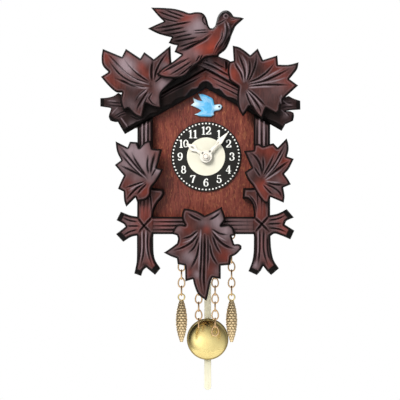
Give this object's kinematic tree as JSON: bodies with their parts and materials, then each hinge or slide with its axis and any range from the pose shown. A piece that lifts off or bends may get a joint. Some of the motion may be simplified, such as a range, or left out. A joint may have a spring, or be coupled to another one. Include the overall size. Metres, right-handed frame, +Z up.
{
  "type": "carved miniature wall clock",
  "caption": "Carved wooden wall clock with leaves, branches and a bird, a round dial, a key-wound movement, a swinging pendulum, decorative chains and cone weights.",
  "frame": {"origin": "centre of the hanger hole at the wall plane", "axes": "+Z up, +X to the viewer's right when facing the dial, +Y into the wall, so the dial faces -Y"},
  "size_m": [0.1256, 0.07, 0.241],
  "materials": {
    "case_wood": "satin mahogany stain",
    "case_board": "satin dark mahogany stain",
    "plain_wood": "unfinished softwood",
    "carved_wood": "satin dark mahogany stain with blackened edges",
    "brass_plate": "brushed",
    "steel": "satin",
    "spring_steel": "blued",
    "wheel_brass": "satin",
    "blue_plastic": "satin",
    "dial_black": "satin",
    "dial_cream": "matt",
    "dial_white": "matt",
    "hand_ivory": "satin",
    "polished_brass": "polished",
    "rod_cream": "satin",
    "chain_copper": "polished"
  },
  "bodies": {
    "case": {"front_panel": "case_wood", "side_panel_left": "case_board", "side_panel_right": "case_board", "bottom_board": "case_board", "back_panel": "plain_wood", "roof_left": "case_board", "roof_right": "case_board", "hanger_rail": "plain_wood", "hanger_plate": "brass_plate", "case_screws": "steel", "battens": "plain_wood", "roof_front_left": "carved_wood", "roof_front_right": "carved_wood", "top_leaf_left": "carved_wood", "top_leaf_right": "carved_wood", "crest_log": "carved_wood", "carved_bird": "carved_wood", "middle_leaf_left": "carved_wood", "middle_leaf_right": "carved_wood", "branch_left": "carved_wood", "branch_right": "carved_wood", "bottom_log": "carved_wood", "bottom_leaf": "carved_wood", "blue_bird": "blue_plastic", "dial_disc": "dial_black", "dial_centre": "dial_cream", "dial_numerals": "dial_white", "front_plate": "brass_plate", "back_plate": "brass_plate", "pillars": "brass_plate", "movement_screws": "steel", "mainspring": "spring_steel", "pendulum_cock": "brass_plate", "screw_eyes": "chain_copper"},
    "centre_train": {"centre_arbor": "steel", "centre_wheel": "wheel_brass", "cannon_pinion": "wheel_brass", "minute_hand": "hand_ivory", "hand_nut": "hand_ivory"},
    "hour_train": {"hour_wheel": "wheel_brass", "hour_hand": "hand_ivory"},
    "minute_train": {"minute_wheel": "wheel_brass"},
    "third_train": {"third_wheel": "wheel_brass"},
    "escape_train": {"escape_wheel": "wheel_brass"},
    "great_train": {"great_wheel": "wheel_brass", "click_spring": "spring_steel"},
    "winding": {"winding_arbor": "steel", "winding_key": "brass_plate"},
    "click": {"click": "steel"},
    "anchor": {"anchor": "steel", "crutch": "steel"},
    "pendulum": {"pendulum_rod": "rod_cream"},
    "bob": {"bob_shell": "polished_brass", "bob_back": "polished_brass"},
    "chain_1": {"chain_outer_left": "chain_copper"},
    "chain_2": {"chain_inner_left": "chain_copper"},
    "chain_3": {"chain_inner_right": "chain_copper"},
    "chain_4": {"chain_outer_right": "chain_copper"},
    "cone_1": {"cone_left": "polished_brass"},
    "cone_2": {"cone_right": "polished_brass"}
  },
  "joints": [
    {"name": "hands_turn", "type": "hinge", "parent": "case", "child": "centre_train", "pos_m": [0, -0.03, -0.032], "axis": [0, 1, 0], "continuous": true},
    {"name": "hour_turn", "type": "hinge", "parent": "case", "child": "hour_train", "pos_m": [0, -0.041, -0.032], "axis": [0, 1, 0], "continuous": true},
    {"name": "minute_wheel_turn", "type": "hinge", "parent": "case", "child": "minute_train", "pos_m": [0, -0.039, -0.0416], "axis": [0, 1, 0], "continuous": true},
    {"name": "third_turn", "type": "hinge", "parent": "case", "child": "third_train", "pos_m": [0.01518, -0.03, -0.02904], "axis": [0, 1, 0], "continuous": true},
    {"name": "escape_turn", "type": "hinge", "parent": "case", "child": "escape_train", "pos_m": [0.009, -0.027, -0.0175], "axis": [0, 1, 0], "continuous": true},
    {"name": "great_turn", "type": "hinge", "parent": "case", "child": "great_train", "pos_m": [-0.00964, -0.03, -0.04576], "axis": [0, 1, 0], "continuous": true},
    {"name": "winding_turn", "type": "hinge", "parent": "great_train", "child": "winding", "pos_m": [-0.00964, -0.025, -0.04576], "axis": [0, 1, 0], "continuous": true},
    {"name": "click_lift", "type": "hinge", "parent": "great_train", "child": "click", "pos_m": [-0.00514, -0.029, -0.03797], "axis": [0, -1, 0], "range_deg": [0, 14], "stiffness_Nm_per_rad": 0.000005, "springref_deg": -2.86},
    {"name": "pendulum_swing", "type": "hinge", "parent": "case", "child": "pendulum", "pos_m": [0, -0.016, -0.0077], "axis": [0, 1, 0], "range_deg": [-5, 5]},
    {"name": "anchor_rock", "type": "hinge", "parent": "case", "child": "anchor", "pos_m": [0, -0.027, -0.0077], "axis": [0, 1, 0], "range_deg": [-5, 5]},
    {"name": "bob_height", "type": "slide", "parent": "pendulum", "child": "bob", "axis": [0, 0, 1], "range_m": [-0.008, 0.008]},
    {"name": "chain_swing_1", "type": "hinge", "parent": "case", "child": "chain_1", "pos_m": [-0.0158, -0.039, -0.07865], "axis": [0, 1, 0], "range_deg": [-4, 20]},
    {"name": "chain_swing_2", "type": "hinge", "parent": "case", "child": "chain_2", "pos_m": [-0.0052, -0.032, -0.07865], "axis": [0, 1, 0], "range_deg": [-4, 4]},
    {"name": "chain_swing_3", "type": "hinge", "parent": "case", "child": "chain_3", "pos_m": [0.0052, -0.032, -0.07865], "axis": [0, 1, 0], "range_deg": [-4, 4]},
    {"name": "chain_swing_4", "type": "hinge", "parent": "case", "child": "chain_4", "pos_m": [0.0158, -0.039, -0.07865], "axis": [0, 1, 0], "range_deg": [-20, 4]},
    {"name": "cone_swing_1", "type": "hinge", "parent": "chain_1", "child": "cone_1", "pos_m": [-0.0158, -0.039, -0.11948], "axis": [0, 1, 0], "range_deg": [-15, 15]},
    {"name": "cone_swing_2", "type": "hinge", "parent": "chain_4", "child": "cone_2", "pos_m": [0.0158, -0.039, -0.11948], "axis": [0, 1, 0], "range_deg": [-15, 15]}
  ],
  "couplings": [
    {"joint": "third_turn", "follows": "hands_turn", "ratio": -12},
    {"joint": "escape_turn", "follows": "hands_turn", "ratio": 120},
    {"joint": "great_turn", "follows": "hands_turn", "ratio": -0.16667},
    {"joint": "minute_wheel_turn", "follows": "hands_turn", "ratio": -0.33333},
    {"joint": "hour_turn", "follows": "hands_turn", "ratio": 0.083333},
    {"joint": "anchor_rock", "follows": "pendulum_swing", "ratio": 1}
  ]
}
